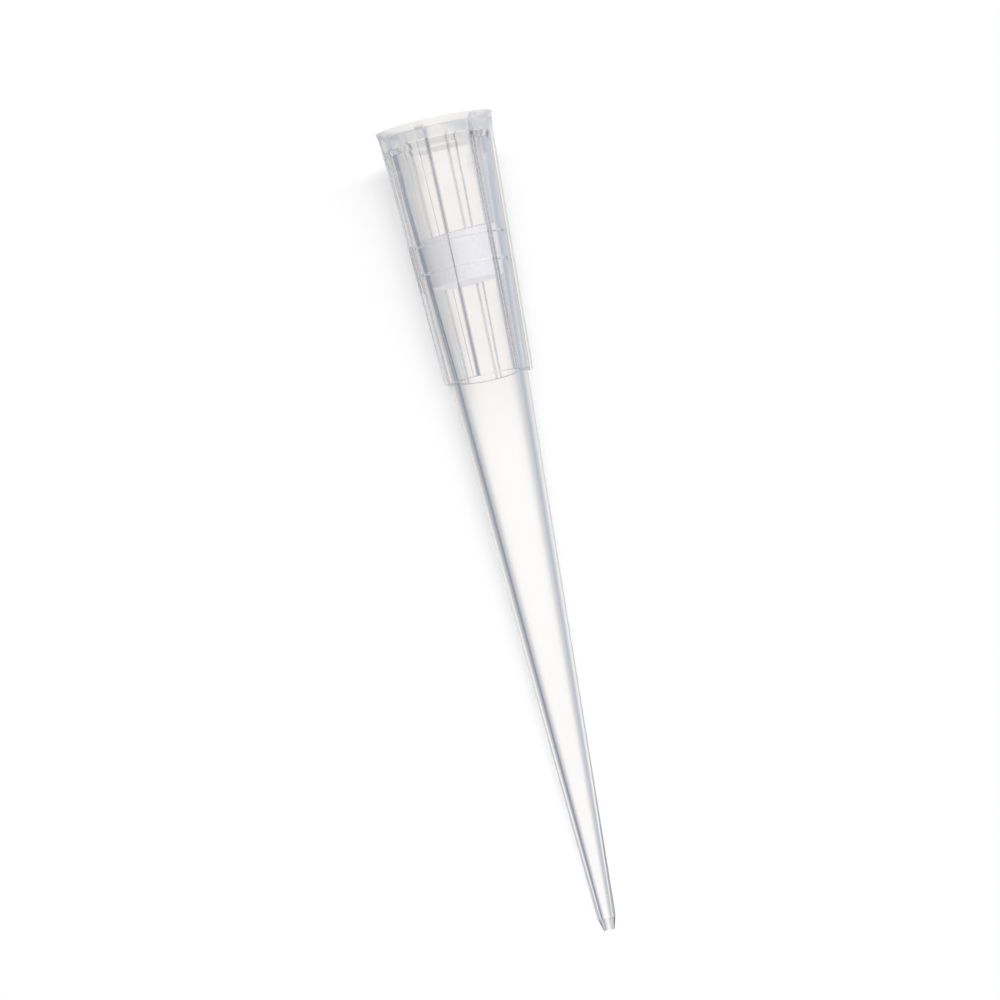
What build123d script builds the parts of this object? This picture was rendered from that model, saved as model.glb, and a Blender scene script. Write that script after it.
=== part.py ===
from build123d import *
import os

# A 200 microlitre filter pipette tip: one moulded polypropylene tip with a ribbed collar, and a
# porous filter plug pressed into its bore. It stands on its rim with the point up. Millimetres;
# the origin is the centre of the rim's end face, and +Z runs up the axis to the point. One rib
# lies on +X.

# Overall
tip_length = 52.0  # rim plane to the point's end face
collar_length = 16.45  # rim plane to the shoulder where the ribs end

# Bore, from the mouth up
mouth_radius = 3.02  # at the rim plane
lead_in_depth = 1.23  # rim plane to where the lead-in's floor begins
lead_in_draft = 0.06  # how much the lead-in narrows on its way in
lead_in_slope = 0.35  # height of the sloping floor that centres a nozzle
throat_radius = 2.74  # just past the sloping floor
seal_radius = 2.66  # the cylindrical land that grips and seals on a nozzle
seal_depth = 2.60  # rim plane to the land's start
seal_length = 1.40
shoulder_bore_radius = 1.93  # level with the collar's shoulder
orifice_radius = 0.21
orifice_length = 0.70
orifice_step = 0.02  # how far the orifice stands in from the bore it ends

# Walls, outside the bore
collar_wall = 0.61  # past the lead-in, level with the rim
shoulder_wall = 0.67  # level with the collar's shoulder, on its side
cone_wall = 0.56  # level with the collar's shoulder, on the cone's side
bevel_wall = 0.36  # where the point's bevel begins
point_wall = 0.135  # at the point's end face
bevel_length = 0.90

# Rim flange and ribs
flange_height = 0.45
flange_foot_overhang = 0.10  # past the tube, at the flange's foot
rim_flare = 0.31  # past the flange's foot, at the rim's edge
rim_edge = 0.05  # height of the rim's straight outer edge
rib_count = 6
rib_height = 0.29
rib_blend = 2.60  # rim plane to where the ribs have run down from the rim's edge to that height
rib_rim_width = 0.59
rib_shoulder_width = 0.34
rib_edge_radius = 0.12

# Filter plug, and the two rings in the bore that hold it
plug_depth = 7.16  # rim plane to the middle of the plug's near end
plug_length = 3.16
plug_near_tilt = -3.5  # degrees about Y, so its +X side sits deeper: it was pressed in askew
plug_far_tilt = -1.2
plug_gap = 0.01  # between the plug and the bore all round
plug_edge = 0.05  # the plug's broken edges
ring_depths = (0.41, 2.18)  # each ring's middle, past the plug's near end
ring_height = 0.03
ring_width = 0.20


def radius_at(line, height):
    """The radius of a (radius, height) line at a height, straight between its points."""
    for (r0, z0), (r1, z1) in zip(line, line[1:]):
        if z0 <= height <= z1 and z1 > z0:
            return r0 + (r1 - r0) * (height - z0) / (z1 - z0)
    return line[-1][0]


def turned(line):
    """The solid that a (radius, height) line, from foot to top, sweeps round the Z axis."""
    corners = [(0, line[0][1]), *line, (0, line[-1][1])]
    side = Polyline(*[(radius, 0, height) for radius, height in corners], close=True)
    return revolve(make_face(side), Axis.Z, 360)


# The bore's wall without its rings, as (radius, height) from the mouth to the end face
seal_end = seal_depth + seal_length
orifice_start = tip_length - orifice_length
bore_line = [
    (mouth_radius, 0),
    (mouth_radius - lead_in_draft, lead_in_depth),
    (throat_radius, lead_in_depth + lead_in_slope),
    (seal_radius, seal_depth),
    (seal_radius, seal_end),
    (shoulder_bore_radius, collar_length),
    (orifice_radius + orifice_step, orifice_start),
    (orifice_radius, orifice_start),
    (orifice_radius, tip_length),
]

# Outer radii, each from the bore inside it
tube_rim_radius = throat_radius + collar_wall
tube_shoulder_radius = shoulder_bore_radius + shoulder_wall
cone_shoulder_radius = shoulder_bore_radius + cone_wall
flange_foot_radius = tube_rim_radius + flange_foot_overhang
rim_radius = flange_foot_radius + rim_flare
bevel_start = tip_length - bevel_length
bevel_radius = radius_at(bore_line, bevel_start) + bevel_wall
point_radius = orifice_radius + point_wall


def make_outside():
    """The tip's outside without its ribs: flared flange, tube, shoulder, cone and bevel."""
    line = [
        (rim_radius, 0),
        (rim_radius, rim_edge),
        (flange_foot_radius, flange_height),
        (tube_rim_radius, flange_height),
        (tube_shoulder_radius, collar_length),
        (cone_shoulder_radius, collar_length),
        (bevel_radius, bevel_start),
        (point_radius, tip_length),
    ]
    return turned(line)


def make_rib():
    """The rib on +X, from the rim's edge to the shoulder, narrowing on its way up."""
    start = rim_edge
    tube_line = [(tube_rim_radius, flange_height), (tube_shoulder_radius, collar_length)]
    envelope = turned(
        [
            (rim_radius, start),
            (radius_at(tube_line, rib_blend) + rib_height, rib_blend),
            (tube_shoulder_radius + rib_height, collar_length),
        ]
    )
    root = (shoulder_bore_radius + cone_shoulder_radius) / 2
    sides = Polyline(
        (root, -rib_rim_width / 2, start),
        (root, rib_rim_width / 2, start),
        (root, rib_shoulder_width / 2, collar_length),
        (root, -rib_shoulder_width / 2, collar_length),
        close=True,
    )
    blank = extrude(make_face(sides), rim_radius - root, dir=(1, 0, 0))
    rib = blank & envelope
    long_edges = rib.edges().filter_by(lambda e: e.length > rib_rim_width * 2).sort_by(Axis.X)
    return fillet(long_edges[-4:], rib_edge_radius)


def make_ring(depth):
    """What fills the bore at one holding ring: a low ridge, peaked in the middle."""
    middle, half = plug_depth + depth, ring_width / 2
    low, high = [(radius_at(bore_line, z), z) for z in (middle - half, middle + half)]
    peak = (radius_at(bore_line, middle) - ring_height, middle)
    return turned([low, high]) - turned([low, peak, high])


def make_bore():
    """The space inside the tip, pinched by the two holding rings."""
    space = turned(bore_line)
    for depth in ring_depths:
        space -= make_ring(depth)
    return space


def make_tip_body():
    """The moulded tip, in one piece."""
    body = make_outside()
    rib = make_rib()
    for i in range(rib_count):
        body += Rot(0, 0, 360 * i / rib_count) * rib
    return body - make_bore()


def make_filter_plug():
    """The porous plug: the bore's own shape, a gap clear of its wall, between two tilted ends."""
    span = (plug_depth - plug_length, plug_depth + 2 * plug_length)
    turns = [plug_depth + d + s * ring_width / 2 for d in ring_depths for s in (-1, 0, 1)]
    wall = []
    for height in sorted([*span, *turns]):
        at_peak = any(abs(height - plug_depth - d) < ring_width / 4 for d in ring_depths)
        radius = radius_at(bore_line, height) - plug_gap - (ring_height if at_peak else 0)
        wall.append((radius, height))
    past_near = Cylinder(
        rim_radius, 2 * plug_length, align=(Align.CENTER, Align.CENTER, Align.MIN)
    )
    short_of_far = Cylinder(
        rim_radius, 2 * plug_length, align=(Align.CENTER, Align.CENTER, Align.MAX)
    )
    plug = turned(wall) & Pos(0, 0, plug_depth) * Rot(0, plug_near_tilt, 0) * past_near
    plug &= Pos(0, 0, plug_depth + plug_length) * Rot(0, plug_far_tilt, 0) * short_of_far
    ends = plug.faces().filter_by(GeomType.PLANE)
    return chamfer([edge for end in ends for edge in end.edges()], plug_edge)


os.makedirs("parts", exist_ok=True)
for name, piece in (("tip_body", make_tip_body()), ("filter_plug", make_filter_plug())):
    piece.label = name
    export_step(piece, f"parts/{name}.step")
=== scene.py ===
"""The looks of a 200 microlitre filter pipette tip: a clear moulded tip with a porous plug in its
bore. It stands on its rim with the point up, in metres, in the frame's own axes."""

import math

import bpy
from mathutils import Matrix, Vector


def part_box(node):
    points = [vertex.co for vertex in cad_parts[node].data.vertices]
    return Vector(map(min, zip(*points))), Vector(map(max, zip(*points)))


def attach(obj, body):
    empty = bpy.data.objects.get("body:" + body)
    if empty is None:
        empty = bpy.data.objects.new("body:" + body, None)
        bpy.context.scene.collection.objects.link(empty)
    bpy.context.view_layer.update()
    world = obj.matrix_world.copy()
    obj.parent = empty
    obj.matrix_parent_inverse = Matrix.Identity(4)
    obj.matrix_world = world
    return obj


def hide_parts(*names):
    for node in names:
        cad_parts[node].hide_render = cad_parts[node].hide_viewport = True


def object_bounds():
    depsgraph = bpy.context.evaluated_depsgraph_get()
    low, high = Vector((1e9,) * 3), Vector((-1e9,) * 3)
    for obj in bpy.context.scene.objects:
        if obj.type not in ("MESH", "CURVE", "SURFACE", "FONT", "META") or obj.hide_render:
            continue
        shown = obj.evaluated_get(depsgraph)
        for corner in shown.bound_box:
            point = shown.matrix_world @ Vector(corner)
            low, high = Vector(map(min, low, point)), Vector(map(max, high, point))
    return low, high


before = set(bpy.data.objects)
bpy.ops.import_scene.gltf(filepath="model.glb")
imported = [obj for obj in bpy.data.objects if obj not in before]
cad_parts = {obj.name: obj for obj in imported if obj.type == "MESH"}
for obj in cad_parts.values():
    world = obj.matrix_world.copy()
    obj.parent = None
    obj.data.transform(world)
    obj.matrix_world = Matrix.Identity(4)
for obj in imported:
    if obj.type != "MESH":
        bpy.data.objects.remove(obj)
cad_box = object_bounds()

MM = 0.001

# The tip's own sizes, in millimetres
tip_low, tip_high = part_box("tip_body")
TIP_LENGTH = (tip_high.z - tip_low.z) / MM
COLLAR_LENGTH = 16.45
RIM_RADIUS = (tip_high.y - tip_low.y) / 2 / MM
RIM_EDGE = 0.05
FLANGE_HEIGHT = 0.45
FLANGE_FOOT_RADIUS = 3.45
FLARE_HOLLOW = 0.05
TUBE_RIM_RADIUS = 3.35
TUBE_SHOULDER_RADIUS = 2.60
CONE_SHOULDER_RADIUS = 2.49
SHOULDER_ROUND = 0.09
RIB_COUNT = 6
RIB_HEIGHT = 0.29
RIB_BLEND = 2.60
RIB_RIM_WIDTH = 0.66
RIB_SHOULDER_WIDTH = 0.34
RIB_DRAFT = 5
RIB_EDGE_RADIUS = 0.12
RIB_ROOT_RADIUS = 0.15
BEVEL_LENGTH = 0.90
BEVEL_RADIUS = 0.59
POINT_RADIUS = 0.345

# The bore, as (radius, height) from the mouth to the point's end face
ORIFICE_RADIUS = 0.21
BORE = [
    (3.02, 0),
    (2.965, 1.14),
    (2.95, 1.20),
    (2.92, 1.26),
    (2.78, 1.53),
    (2.75, 1.58),
    (2.735, 1.64),
    (2.66, 2.60),
    (2.66, 4.00),
    (1.93, COLLAR_LENGTH),
    (0.27, 51.3),
    (ORIFICE_RADIUS, 51.3),
    (ORIFICE_RADIUS, TIP_LENGTH),
]
RING_HEIGHT = 0.03
RING_WIDTH = 0.20

# The plug
PLUG_DEPTH = 7.16
PLUG_LENGTH = 3.16
PLUG_NEAR_TILT = -3.5
PLUG_FAR_TILT = -1.2
PLUG_GAP = 0.01
PLUG_EDGE = 0.05
RING_DEPTHS = (0.41, 2.18)

# Two heights closer than this are level
FLAT = 1e-6

# How finely the round forms are divided
CROWN_STEPS = 3
EDGE_STEPS = 6
GAP_STEPS = 12
FLARE_STEPS = 12
ROUND_STEPS = 6
COLLAR_STEPS = 8
CONE_STEPS = 12


def radius_at(line, height):
    """The radius of a (radius, height) line at a height, straight between its points."""
    for (r0, z0), (r1, z1) in zip(line, line[1:]):
        if z0 <= height <= z1 and z1 > z0:
            return r0 + (r1 - r0) * (height - z0) / (z1 - z0)
    return line[-1][0]


def mixed(start, end, share):
    """The value a share of the way from start to end."""
    return start + (end - start) * share


# The outlines, one row at a height. A point is its place and the way its outline faces there,
# as (x, y, z, facing x, facing y).


def sector(tube, crown, half):
    """Half a rib and half a gap: from the middle of the crown on +X to the middle of the gap.
    The rib's side leans in by its draft, with a round at its edge and another at its root."""
    draft = math.radians(RIB_DRAFT)
    side = (tube + crown) / 2 * math.sin(draft) + half * math.cos(draft)
    edge = crown - RIB_EDGE_RADIUS
    edge_turn = math.asin((side - RIB_EDGE_RADIUS) / edge) - draft
    root = tube + RIB_ROOT_RADIUS
    root_turn = math.asin((side + RIB_ROOT_RADIUS) / root) - draft
    upright = math.pi / 2 - draft
    points = []
    for i in range(CROWN_STEPS):
        turn = edge_turn * i / CROWN_STEPS
        points.append((crown * math.cos(turn), crown * math.sin(turn), turn))
    for i in range(EDGE_STEPS + 1):
        turn = mixed(edge_turn, upright, i / EDGE_STEPS)
        x = edge * math.cos(edge_turn) + RIB_EDGE_RADIUS * math.cos(turn)
        y = edge * math.sin(edge_turn) + RIB_EDGE_RADIUS * math.sin(turn)
        points.append((x, y, turn))
    for i in range(EDGE_STEPS + 1):
        turn = mixed(upright, root_turn, i / EDGE_STEPS)
        x = root * math.cos(root_turn) - RIB_ROOT_RADIUS * math.cos(turn)
        y = root * math.sin(root_turn) - RIB_ROOT_RADIUS * math.sin(turn)
        points.append((x, y, turn))
    for i in range(1, GAP_STEPS + 1):
        turn = mixed(root_turn, math.pi / RIB_COUNT, i / GAP_STEPS)
        points.append((tube * math.cos(turn), tube * math.sin(turn), turn))
    return points


def up_collar(height, foot, shoulder):
    """A size that changes evenly from the flange's foot to the shoulder."""
    share = (height - FLANGE_HEIGHT) / (COLLAR_LENGTH - FLANGE_HEIGHT)
    return mixed(foot, shoulder, share)


def ribbed_row(height, inset=0.0):
    """The outline of the tube and its ribs at a height, drawn in by an inset, and the ribs'
    sides by half of it."""
    tube = up_collar(height, TUBE_RIM_RADIUS, TUBE_SHOULDER_RADIUS) - inset
    half = up_collar(height, RIB_RIM_WIDTH, RIB_SHOULDER_WIDTH) / 2 - inset / 2
    crown = tube + RIB_HEIGHT
    if height < RIB_BLEND:
        blend_tube = up_collar(RIB_BLEND, TUBE_RIM_RADIUS, TUBE_SHOULDER_RADIUS)
        share = (height - RIM_EDGE) / (RIB_BLEND - RIM_EDGE)
        crown = mixed(RIM_RADIUS, blend_tube + RIB_HEIGHT, share)
    upper = sector(tube, crown, half)
    lower = [(x, -y, -turn) for x, y, turn in upper[1:-1]]
    row = []
    for i in range(RIB_COUNT):
        about = 2 * math.pi * i / RIB_COUNT
        c, s = math.cos(about), math.sin(about)
        for x, y, turn in lower[::-1] + upper:
            facing = (math.cos(turn + about), math.sin(turn + about))
            row.append((x * c - y * s, x * s + y * c, height, *facing))
    return row


AROUND = [math.atan2(y, x) for x, y, *_ in ribbed_row(FLANGE_HEIGHT)]


def round_point(radius, height, turn):
    """A point of a circle about the axis."""
    c, s = math.cos(turn), math.sin(turn)
    return (radius * c, radius * s, height, c, s)


def round_row(radius, height):
    """A circle at a height, with its points at the same angles as the collar's."""
    return [round_point(radius, height, turn) for turn in AROUND]


def flange_row(share):
    """The flange's hollow flare, a share of the way from the rim's edge to its foot. The ribs'
    crowns stand a little proud of it near the foot."""
    height = mixed(RIM_EDGE, FLANGE_HEIGHT, share)
    flare = mixed(RIM_RADIUS, FLANGE_FOOT_RADIUS, share) - 4 * FLARE_HOLLOW * share * (1 - share)
    row = []
    for point in ribbed_row(height):
        turn = math.atan2(point[1], point[0])
        proud = math.hypot(point[0], point[1]) > flare
        row.append(point if proud else round_point(flare, height, turn))
    return row


def outside_rows():
    """The outside, row by row, from the rim's end face to the point's end face."""
    rows = [round_row(RIM_RADIUS, 0)]
    rows += [flange_row(i / FLARE_STEPS) for i in range(FLARE_STEPS + 1)]
    round_start = COLLAR_LENGTH - SHOULDER_ROUND
    rows.append(ribbed_row(FLANGE_HEIGHT))
    for i in range(COLLAR_STEPS):
        rows.append(ribbed_row(mixed(RIB_BLEND, round_start, i / COLLAR_STEPS)))
    for i in range(ROUND_STEPS + 1):
        turn = math.pi / 2 * i / ROUND_STEPS
        height = round_start + SHOULDER_ROUND * math.sin(turn)
        rows.append(ribbed_row(height, SHOULDER_ROUND * (1 - math.cos(turn))))
    bevel_start = TIP_LENGTH - BEVEL_LENGTH
    for i in range(CONE_STEPS + 1):
        share = i / CONE_STEPS
        radius = mixed(CONE_SHOULDER_RADIUS, BEVEL_RADIUS, share)
        rows.append(round_row(radius, mixed(COLLAR_LENGTH, bevel_start, share)))
    rows.append(round_row(POINT_RADIUS, TIP_LENGTH))
    return rows


def bore_rows():
    """The bore with its two holding rings, row by row, from the point's end face to the mouth."""
    line = list(BORE)
    for depth in RING_DEPTHS:
        middle = PLUG_DEPTH + depth
        for offset, proud in ((-0.5, 0), (0, RING_HEIGHT), (0.5, 0)):
            height = middle + offset * RING_WIDTH
            line.append((radius_at(BORE, height) - proud, height))
    line.sort(key=lambda point: (point[1], -point[0]))
    return [round_row(radius, height) for radius, height in reversed(line)]


def facing(start, end, point):
    """The way the skin faces at a point of the column from start to end."""
    dx, dy, dz = (end[i] - start[i] for i in range(3))
    if abs(dz) < FLAT:
        return Vector((0, 0, -1 if dx * start[0] + dy * start[1] > 0 else 1))
    return Vector((point[3] * dz, point[4] * dz, -dx * point[3] - dy * point[4])).normalized()


def skinned(name, rows, closed):
    """A mesh object over rows of points, each row joined to the next, in metres. Points that
    coincide are one, and each face is shaded as the true surface faces."""
    across = len(rows[0])
    places = {}
    faces, shading = [], []
    for low, high in zip(rows, rows[1:] + rows[:1] if closed else rows[1:]):
        for j in range(across):
            k = (j + 1) % across
            corners = []
            for row, i in ((low, j), (low, k), (high, k), (high, j)):
                place = tuple(round(value, 5) for value in row[i][:3])
                index = places.setdefault(place, len(places))
                if index not in [corner[0] for corner in corners]:
                    corners.append((index, facing(low[i], high[i], row[i])))
            if len(corners) > 2:
                faces.append([corner[0] for corner in corners])
                shading += [corner[1] for corner in corners]
    if not closed:
        for row, up in ((rows[0][::-1], -1), (rows[-1], 1)):
            faces.append([places[tuple(round(value, 5) for value in point[:3])] for point in row])
            shading += [Vector((0, 0, up))] * across
    mesh = bpy.data.meshes.new(name)
    mesh.from_pydata([Vector(place) * MM for place in places], [], faces)
    mesh.shade_smooth()
    mesh.normals_split_custom_set(shading)
    piece = bpy.data.objects.new(name, mesh)
    bpy.context.scene.collection.objects.link(piece)
    return piece


# Materials


def new_material(name):
    """An empty node material, with its node tree and its output."""
    material = bpy.data.materials.new(name)
    material.use_nodes = True
    tree = material.node_tree
    tree.nodes.clear()
    return material, tree, tree.nodes.new("ShaderNodeOutputMaterial")


def noise(tree, scale, detail, stretch=(1, 1, 1)):
    """A noise texture over the piece's own coordinates, in features per millimetre."""
    place = tree.nodes.new("ShaderNodeTexCoord")
    sized = tree.nodes.new("ShaderNodeMapping")
    sized.inputs["Scale"].default_value = [scale * s / MM for s in stretch]
    texture = tree.nodes.new("ShaderNodeTexNoise")
    texture.inputs["Scale"].default_value = 1
    texture.inputs["Detail"].default_value = detail
    tree.links.new(place.outputs["Object"], sized.inputs["Vector"])
    tree.links.new(sized.outputs["Vector"], texture.inputs["Vector"])
    return texture.outputs["Fac"]


def ramp(tree, value, stops):
    """Colours along a value from 0 to 1, from (position, colour) stops."""
    node = tree.nodes.new("ShaderNodeValToRGB")
    elements = node.color_ramp.elements
    while len(elements) < len(stops):
        elements.new(1)
    for element, (position, colour) in zip(elements, stops):
        element.position = position
    for element, (position, colour) in zip(elements, stops):
        element.color = (*colour, 1)
    tree.links.new(value, node.inputs["Fac"])
    return node.outputs["Color"]


def ranged(tree, value, low, high):
    """A value from 0 to 1, spread from low to high."""
    spread = tree.nodes.new("ShaderNodeMapRange")
    spread.inputs["To Min"].default_value = low
    spread.inputs["To Max"].default_value = high
    tree.links.new(value, spread.inputs["Value"])
    return spread.outputs["Result"]


def bump(tree, value, depth):
    """A bump from a value, its depth in millimetres."""
    node = tree.nodes.new("ShaderNodeBump")
    node.inputs["Distance"].default_value = depth * MM
    tree.links.new(value, node.inputs["Height"])
    return node.outputs["Normal"]


def clear_polypropylene():
    """Clear moulded plastic: faint flow marks along the part and a slight blue-grey depth."""
    material, tree, output = new_material("clear_polypropylene")
    plastic = tree.nodes.new("ShaderNodeBsdfPrincipled")
    plastic.inputs["Base Color"].default_value = (0.985, 0.99, 1.0, 1)
    plastic.inputs["IOR"].default_value = 1.49
    plastic.inputs["Transmission Weight"].default_value = 1.0
    cloud = noise(tree, 0.35, 3, (1, 1, 0.3))
    tree.links.new(ranged(tree, cloud, 0.05, 0.11), plastic.inputs["Roughness"])
    flow = noise(tree, 0.8, 2, (1, 1, 0.08))
    tree.links.new(bump(tree, flow, 0.004), plastic.inputs["Normal"])
    path = tree.nodes.new("ShaderNodeLightPath")
    through = tree.nodes.new("ShaderNodeBsdfTransparent")
    through.inputs["Color"].default_value = (0.82, 0.82, 0.82, 1)
    choose = tree.nodes.new("ShaderNodeMixShader")
    tree.links.new(path.outputs["Is Shadow Ray"], choose.inputs["Fac"])
    tree.links.new(plastic.outputs["BSDF"], choose.inputs[1])
    tree.links.new(through.outputs["BSDF"], choose.inputs[2])
    tree.links.new(choose.outputs["Shader"], output.inputs["Surface"])
    depth = tree.nodes.new("ShaderNodeVolumeAbsorption")
    depth.inputs["Color"].default_value = (0.638, 0.63, 0.662, 1)
    depth.inputs["Density"].default_value = 100
    tree.links.new(depth.outputs["Volume"], output.inputs["Volume"])
    return material


def porous_polyethylene():
    """Sintered white grains: a matt, finely pitted surface with shallow pores."""
    material, tree, output = new_material("porous_polyethylene")
    plastic = tree.nodes.new("ShaderNodeBsdfPrincipled")
    plastic.inputs["Roughness"].default_value = 0.85
    plastic.inputs["IOR"].default_value = 1.49
    grain = noise(tree, 6, 4)
    colour = ramp(tree, grain, ((0.30, (0.87, 0.86, 0.895)), (0.60, (0.94, 0.93, 0.965))))
    tree.links.new(colour, plastic.inputs["Base Color"])
    tree.links.new(bump(tree, grain, 0.03), plastic.inputs["Normal"])
    tree.links.new(plastic.outputs["BSDF"], output.inputs["Surface"])
    return material


# Pieces


def make_tip():
    """The moulded tip: outside and bore as one closed skin."""
    piece = skinned("clear_tip", outside_rows() + bore_rows(), closed=True)
    piece.data.materials.append(clear_polypropylene())
    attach(piece, "root")
    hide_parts("tip_body")


def make_plug():
    """The porous plug: the bore's shape a gap clear of the wall, between two tilted ends."""
    heights = [0, PLUG_EDGE, PLUG_LENGTH - PLUG_EDGE, PLUG_LENGTH]
    for depth in RING_DEPTHS:
        heights += [depth - RING_WIDTH / 2, depth, depth + RING_WIDTH / 2]
    rows = []
    for height in sorted(heights):
        at_ring = any(abs(height - depth) < RING_WIDTH / 4 for depth in RING_DEPTHS)
        at_end = height in (0, PLUG_LENGTH)
        near, far = height <= PLUG_EDGE, height >= PLUG_LENGTH - PLUG_EDGE
        tilt = PLUG_NEAR_TILT if near else PLUG_FAR_TILT if far else 0
        slope = math.tan(math.radians(-tilt))
        row = []
        for turn in AROUND:
            flat = radius_at(BORE, PLUG_DEPTH + height)
            z = PLUG_DEPTH + height + slope * flat * math.cos(turn)
            radius = radius_at(BORE, z) - PLUG_GAP
            radius -= RING_HEIGHT if at_ring else PLUG_EDGE if at_end else 0
            row.append(round_point(radius, z, turn))
        rows.append(row)
    piece = skinned("porous_plug", rows, closed=False)
    piece.data.materials.append(porous_polyethylene())
    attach(piece, "root")
    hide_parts("filter_plug")


# The studio. Angles are in degrees and places in metres.

WHITE = (1, 1, 1, 1)

VIEW_AZIMUTH = 13.7
VIEW_ELEVATION = 5.1
VIEW_ROLL = 167.72
VIEW_DISTANCE = 1.0
VIEW_LENS = 573.6
AIM_RIGHT = -0.00134
AIM_UP = 0.0016


def make_camera():
    """The camera at the photograph's angle: the tip's rim is upper left, its point lower right."""
    a, e = math.radians(VIEW_AZIMUTH), math.radians(VIEW_ELEVATION)
    back = Vector((math.sin(a) * math.cos(e), -math.cos(a) * math.cos(e), math.sin(e)))
    turn = (-back).to_track_quat("-Z", "Y").to_matrix()
    turn = turn @ Matrix.Rotation(math.radians(VIEW_ROLL), 3, "Z")
    low, high = cad_box
    aim = (low + high) / 2 + turn @ Vector((AIM_RIGHT, AIM_UP, 0))
    lens = bpy.data.cameras.new("camera")
    lens.lens = VIEW_LENS
    lens.clip_start = 0.01
    camera = bpy.data.objects.new("camera", lens)
    camera.matrix_world = Matrix.Translation(aim + back * VIEW_DISTANCE) @ turn.to_4x4()
    bpy.context.scene.collection.objects.link(camera)
    bpy.context.scene.camera = camera


# The studio round the tip, as it shows in the plastic: painted shade and painted bright bands on
# the world and the floor, which only rays that the plastic reflects or bends see, as (turn from
# straight behind the tip in degrees, level, how blue). The two tables were not chosen by hand from
# the start: a fitting program printed the levels that gave its ray trace the photo's tones, and
# they were then thinned, rounded and partly changed by hand. They are not an example to follow.
TENT_TURN = VIEW_AZIMUTH + 90
TENT_GAIN = 1.25
NEAR_PAINTED_LEVELS = (
    (-180, 1.15, -0.07),
    (-150, 1.05, -0.07),
    (-129, 1.00, -0.05),
    (-105, 0.60, 0.00),
    (-90, 0.53, 0.10),
    (-78, 0.42, 0.27),
    (-66, 0.34, 0.31),
    (-54, 0.41, 0.24),
    (-45, 0.56, 0.10),
    (-33, 0.65, -0.03),
    (-15, 0.70, -0.07),
    (-9, 0.82, -0.09),
    (-5, 0.96, -0.09),
    (9, 0.98, -0.09),
    (15, 0.80, -0.03),
    (21, 0.67, 0.03),
    (33, 0.62, 0.12),
    (45, 0.56, 0.22),
    (57, 0.74, 0.14),
    (69, 0.84, 0.03),
    (87, 0.84, 0.00),
    (102, 0.62, 0.00),
    (129, 1.00, -0.05),
    (180, 1.15, -0.07),
)
FAR_PAINTED_LEVELS = (
    (-180, 0.60, -0.05),
    (-135, 0.56, -0.05),
    (-105, 0.47, -0.03),
    (-81, 0.35, 0.14),
    (-66, 0.27, 0.27),
    (-55, 0.31, 0.24),
    (-45, 0.45, 0.14),
    (-33, 0.58, 0.03),
    (-21, 0.71, -0.03),
    (-14, 0.96, -0.06),
    (-9, 1.09, -0.06),
    (9, 1.09, -0.06),
    (15, 0.99, -0.05),
    (21, 0.80, 0.00),
    (33, 0.65, 0.10),
    (45, 0.54, 0.19),
    (57, 0.63, 0.10),
    (75, 0.66, 0.00),
    (110, 0.68, 0.00),
    (145, 0.62, -0.03),
    (180, 0.60, -0.05),
)
TENT_LILAC = 0.18
NEAR_END = 0.15
FAR_START = 0.23

# Close to the rim the floor's painted levels, as the plastic shows them, are evened out towards a
# pale grey, painted shade for the rim's contact shadow: a share of them, over a plain veil
CLOSE_SHARE = 0.48
CLOSE_VEIL = 0.38
CLOSE_END = 0.013
NEAR_START = 0.022

# Above the horizon the painted studio is dimmer, and high up brighter: painted shade and light as
# the plastic shows them, as (sine of the height angle, share)
SKY_PAINTED_LEVELS = ((0.0, 1.0), (0.03, 0.62), (0.10, 0.66), (0.19, 0.74), (0.40, 0.85), (0.70, 1.5))
SKY_GAIN = 2.0

# The white sweep under and behind the tip. Near the tip it takes light and shadow; further off it
# is plain white.
AMBIENT = 0.56
SWEEP_COLOUR = 0.72
SWEEP_LIFT = 0.04
FLOOR_LIFT = 0.60
LIFT_HEIGHT = 0.0025
FLOOR_WHITE = (0.05, 0.15)
BACKDROP_WHITE = (0.0058, 0.0095)
FLOOR_RADIUS = 2.0
FLOOR_STEPS = 96
BACKDROP_GAP = 0.0048
BACKDROP_LEAN = 3.3
BACKDROP_HALF = 0.3

# The lamps, as (name, azimuth, elevation, size, power)
LAMP_DISTANCE = 0.5
LAMPS = (
    ("front", VIEW_AZIMUTH - 4, 8, 0.20, 1.60),
    ("key", -55, 60, 0.30, 2.2),
    ("fill", VIEW_AZIMUTH + 70, 10, 0.20, 0.35),
)

# Light crosses many walls on its way through the collar
BOUNCES = 40


def math_node(tree, operation, *values):
    """A math node over plain numbers and sockets."""
    node = tree.nodes.new("ShaderNodeMath")
    node.operation = operation
    for socket, value in zip(node.inputs, values):
        if isinstance(value, (int, float)):
            socket.default_value = value
        else:
            tree.links.new(value, socket)
    return node.outputs[0]


def painted_tent(tree, direction, levels):
    """The painted studio's colour along a direction, over its gain: painted shade and bright bands
    for the plastic to reflect and bend.
    """
    split = tree.nodes.new("ShaderNodeSeparateXYZ")
    tree.links.new(direction, split.inputs[0])
    turn = math_node(tree, "ARCTAN2", split.outputs["Y"], split.outputs["X"])
    turn = math_node(tree, "SUBTRACT", turn, math.radians(TENT_TURN))
    turn = math_node(tree, "WRAP", turn, math.pi, -math.pi)
    share = math_node(tree, "MULTIPLY_ADD", turn, 0.5 / math.pi, 0.5)
    stops = []
    for angle, level, blue in levels:
        green = 1 - TENT_LILAC * max(blue, 0)
        colour = [level / TENT_GAIN * tint for tint in (1 - blue / 2, green, 1 + blue / 2)]
        stops.append((0.5 + angle / 360, colour))
    return ramp(tree, share, stops)


def eased(tree, value, start, end):
    """A soft step from 0 to 1 as a value goes from start to end."""
    node = tree.nodes.new("ShaderNodeMapRange")
    node.interpolation_type = "SMOOTHSTEP"
    node.inputs["From Min"].default_value = start
    node.inputs["From Max"].default_value = end
    tree.links.new(value, node.inputs["Value"])
    return node.outputs["Result"]


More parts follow.
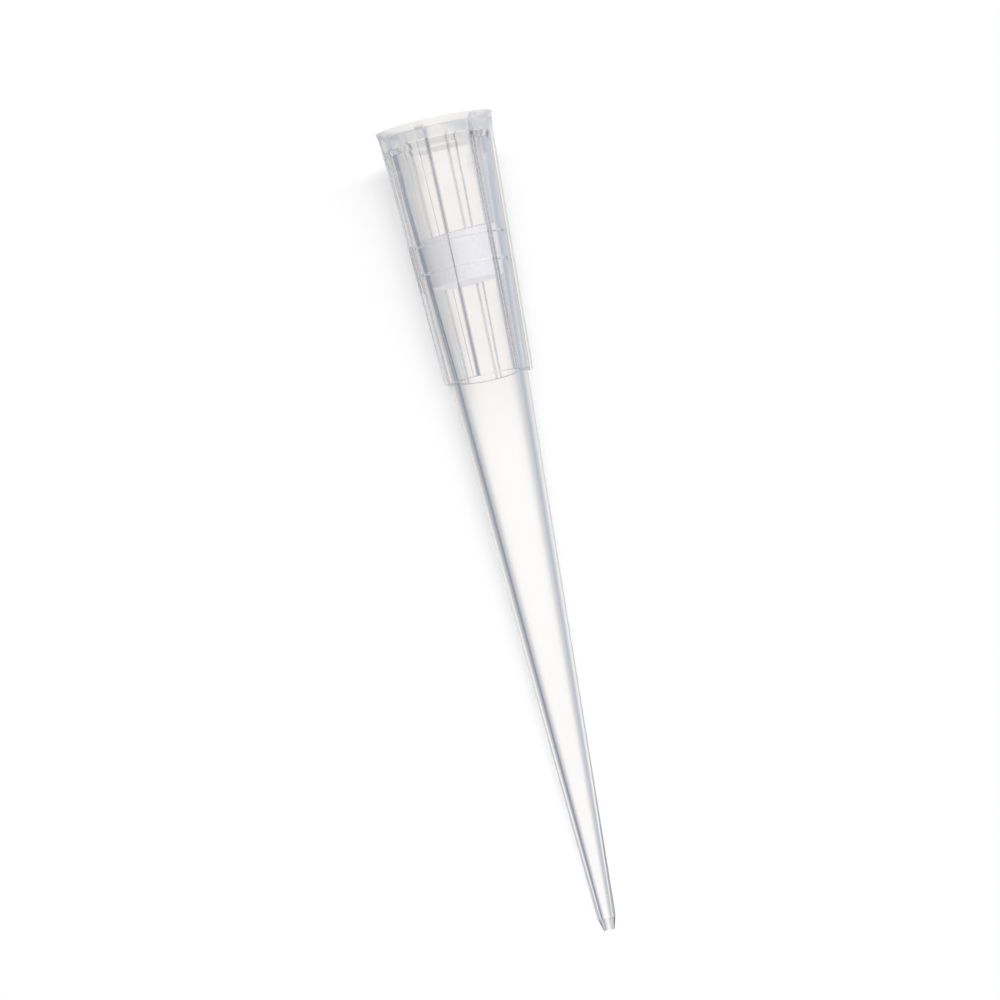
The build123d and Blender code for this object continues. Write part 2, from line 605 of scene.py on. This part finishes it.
def mix_shaders(tree, share, plain, other):
    """Two shaders mixed by a share."""
    node = tree.nodes.new("ShaderNodeMixShader")
    tree.links.new(share, node.inputs[0])
    tree.links.new(plain, node.inputs[1])
    tree.links.new(other, node.inputs[2])
    return node.outputs[0]


def ray_kinds(tree):
    """Whether a ray comes straight from the camera, and whether the plastic has turned it."""
    path = tree.nodes.new("ShaderNodeLightPath")
    glances = path.outputs["Is Glossy Ray"]
    turned = math_node(tree, "MAXIMUM", glances, path.outputs["Is Transmission Ray"])
    return path.outputs["Is Camera Ray"], turned


def glow(tree, kind, colour, strength):
    """An emitting shader of one colour and strength, either of them plain or a socket."""
    node = tree.nodes.new(kind)
    for name, value in (("Color", colour), ("Strength", strength)):
        if isinstance(value, (tuple, float, int)):
            node.inputs[name].default_value = value
        else:
            tree.links.new(value, node.inputs[name])
    return node.outputs[0]


def background(tree, colour, strength):
    """What the world sends out."""
    return glow(tree, "ShaderNodeBackground", colour, strength)


def emission(tree, colour, strength):
    """What a surface sends out."""
    return glow(tree, "ShaderNodeEmission", colour, strength)


def make_world():
    """White to the camera, painted shade and bright bands to what the plastic turns, and a plain
    level that lights.
    """
    world = bpy.data.worlds.new("studio")
    world.use_nodes = True
    tree = world.node_tree
    tree.nodes.clear()
    camera_ray, turned = ray_kinds(tree)
    place = tree.nodes.new("ShaderNodeTexCoord")
    level = math_node(tree, "MULTIPLY_ADD", camera_ray, 1 - AMBIENT, AMBIENT)
    plain = background(tree, WHITE, level)
    ahead = place.outputs["Generated"]
    split = tree.nodes.new("ShaderNodeSeparateXYZ")
    tree.links.new(ahead, split.inputs[0])
    stops = [(sine, (share / SKY_GAIN,) * 3) for sine, share in SKY_PAINTED_LEVELS]
    gain = math_node(tree, "MULTIPLY", ramp(tree, split.outputs["Z"], stops), SKY_GAIN * TENT_GAIN)
    # Rays that the plastic turns see painted shade and painted bright bands, not a lit studio
    shown = background(tree, painted_tent(tree, ahead, FAR_PAINTED_LEVELS), gain)
    output = tree.nodes.new("ShaderNodeOutputWorld")
    tree.links.new(mix_shaders(tree, turned, plain, shown), output.inputs["Surface"])
    bpy.context.scene.world = world


def added(tree, first, second):
    """Two shaders, one on top of the other."""
    node = tree.nodes.new("ShaderNodeAddShader")
    tree.links.new(first, node.inputs[0])
    tree.links.new(second, node.inputs[1])
    return node.outputs[0]


def sweep_material(name, one_sided):
    """The white sweep's look. To a ray that the plastic has turned, the floor shows painted shade
    and bright bands instead of its lit white.
    """
    material, tree, output = new_material(name)
    camera_ray, turned = ray_kinds(tree)
    place = tree.nodes.new("ShaderNodeNewGeometry")
    flat = tree.nodes.new("ShaderNodeVectorMath")
    flat.operation = "MULTIPLY"
    flat.inputs[1].default_value = (1, 1, 0)
    tree.links.new(place.outputs["Position"], flat.inputs[0])
    length = tree.nodes.new("ShaderNodeVectorMath")
    length.operation = "LENGTH"
    tree.links.new(flat.outputs["Vector"], length.inputs[0])
    reach = length.outputs["Value"]
    matt = tree.nodes.new("ShaderNodeBsdfDiffuse")
    matt.inputs["Color"].default_value = (SWEEP_COLOUR, SWEEP_COLOUR, SWEEP_COLOUR, 1)
    split = tree.nodes.new("ShaderNodeSeparateXYZ")
    tree.links.new(place.outputs["Position"], split.inputs[0])
    foot = eased(tree, split.outputs["Z"], LIFT_HEIGHT, 0)
    level = math_node(tree, "MULTIPLY_ADD", foot, FLOOR_LIFT - SWEEP_LIFT, SWEEP_LIFT)
    lift = emission(tree, WHITE, math_node(tree, "MULTIPLY", camera_ray, level))
    near_look = added(tree, matt.outputs[0], lift)
    white = emission(tree, WHITE, 1)
    start, end = BACKDROP_WHITE if one_sided else FLOOR_WHITE
    far = eased(tree, reach, start, end)
    plain_far = math_node(tree, "MULTIPLY", camera_ray, far)
    look = mix_shaders(tree, plain_far, near_look, white)
    if one_sided:
        clear = tree.nodes.new("ShaderNodeBsdfTransparent")
        look = mix_shaders(tree, place.outputs["Backfacing"], look, clear.outputs[0])
    else:
        # To turned rays the floor shows painted shade and bright bands: the near table, then the
        # far table further off
        close = eased(tree, reach, NEAR_START, CLOSE_END)
        # Painted contact shade close to the rim: the levels are cut to a share, with a plain veil
        # added
        part = TENT_GAIN * (CLOSE_SHARE - 1)
        around = place.outputs["Position"]
        gain = math_node(tree, "MULTIPLY_ADD", close, part, TENT_GAIN)
        near = emission(tree, painted_tent(tree, around, NEAR_PAINTED_LEVELS), gain)
        veil = emission(tree, WHITE, math_node(tree, "MULTIPLY", close, CLOSE_VEIL))
        near = added(tree, near, veil)
        beyond = emission(tree, painted_tent(tree, around, FAR_PAINTED_LEVELS), TENT_GAIN)
        shown = mix_shaders(tree, eased(tree, reach, NEAR_END, FAR_START), near, beyond)
        look = mix_shaders(tree, turned, look, shown)
    tree.links.new(look, output.inputs["Surface"])
    return material


def stage_face(name, points, one_sided):
    """One flat face of the studio."""
    mesh = bpy.data.meshes.new(name)
    mesh.from_pydata(points, [], [tuple(range(len(points)))])
    face = bpy.data.objects.new(name, mesh)
    bpy.context.scene.collection.objects.link(face)
    mesh.materials.append(sweep_material(name, one_sided))
    return face


def make_sweep():
    """The floor, and a backdrop leaning close behind the tip, which only the camera sees."""
    turns = [2 * math.pi * i / FLOOR_STEPS for i in range(FLOOR_STEPS)]
    rim = [(FLOOR_RADIUS * math.cos(t), FLOOR_RADIUS * math.sin(t), 0) for t in turns]
    stage_face("floor", rim, False)
    a = math.radians(VIEW_AZIMUTH)
    away = Vector((-math.sin(a), math.cos(a), 0))
    back = away * BACKDROP_GAP
    side = Vector((math.cos(a), math.sin(a), 0)) * BACKDROP_HALF
    top = (Vector((0, 0, 1)) - away * math.tan(math.radians(BACKDROP_LEAN))) * BACKDROP_HALF
    corners = (back - side, back + side, back + side + top, back - side + top)
    backdrop = stage_face("backdrop", corners, True)
    backdrop.visible_diffuse = False
    backdrop.visible_glossy = False
    backdrop.visible_transmission = False
    backdrop.visible_shadow = False


def make_light(name, azimuth, elevation, size, power):
    """A soft square lamp that faces the tip's middle. The plastic shows painted shade and bright
    bands instead of it.
    """
    a, e = math.radians(azimuth), math.radians(elevation)
    back = Vector((math.sin(a) * math.cos(e), -math.cos(a) * math.cos(e), math.sin(e)))
    lamp = bpy.data.lights.new(name, "AREA")
    lamp.size = size
    lamp.energy = power
    light = bpy.data.objects.new(name, lamp)
    light.visible_glossy = False
    light.visible_transmission = False
    low, high = cad_box
    light.location = (low + high) / 2 + back * LAMP_DISTANCE
    light.rotation_euler = (-back).to_track_quat("-Z", "Y").to_euler()
    bpy.context.scene.collection.objects.link(light)


make_tip()
make_plug()
make_camera()
make_world()
make_sweep()
for lamp in LAMPS:
    make_light(*lamp)
bpy.context.scene.cycles.max_bounces = BOUNCES
bpy.context.scene.cycles.transmission_bounces = BOUNCES
bpy.context.scene.cycles.glossy_bounces = BOUNCES
bpy.context.scene.view_settings.view_transform = "Standard"
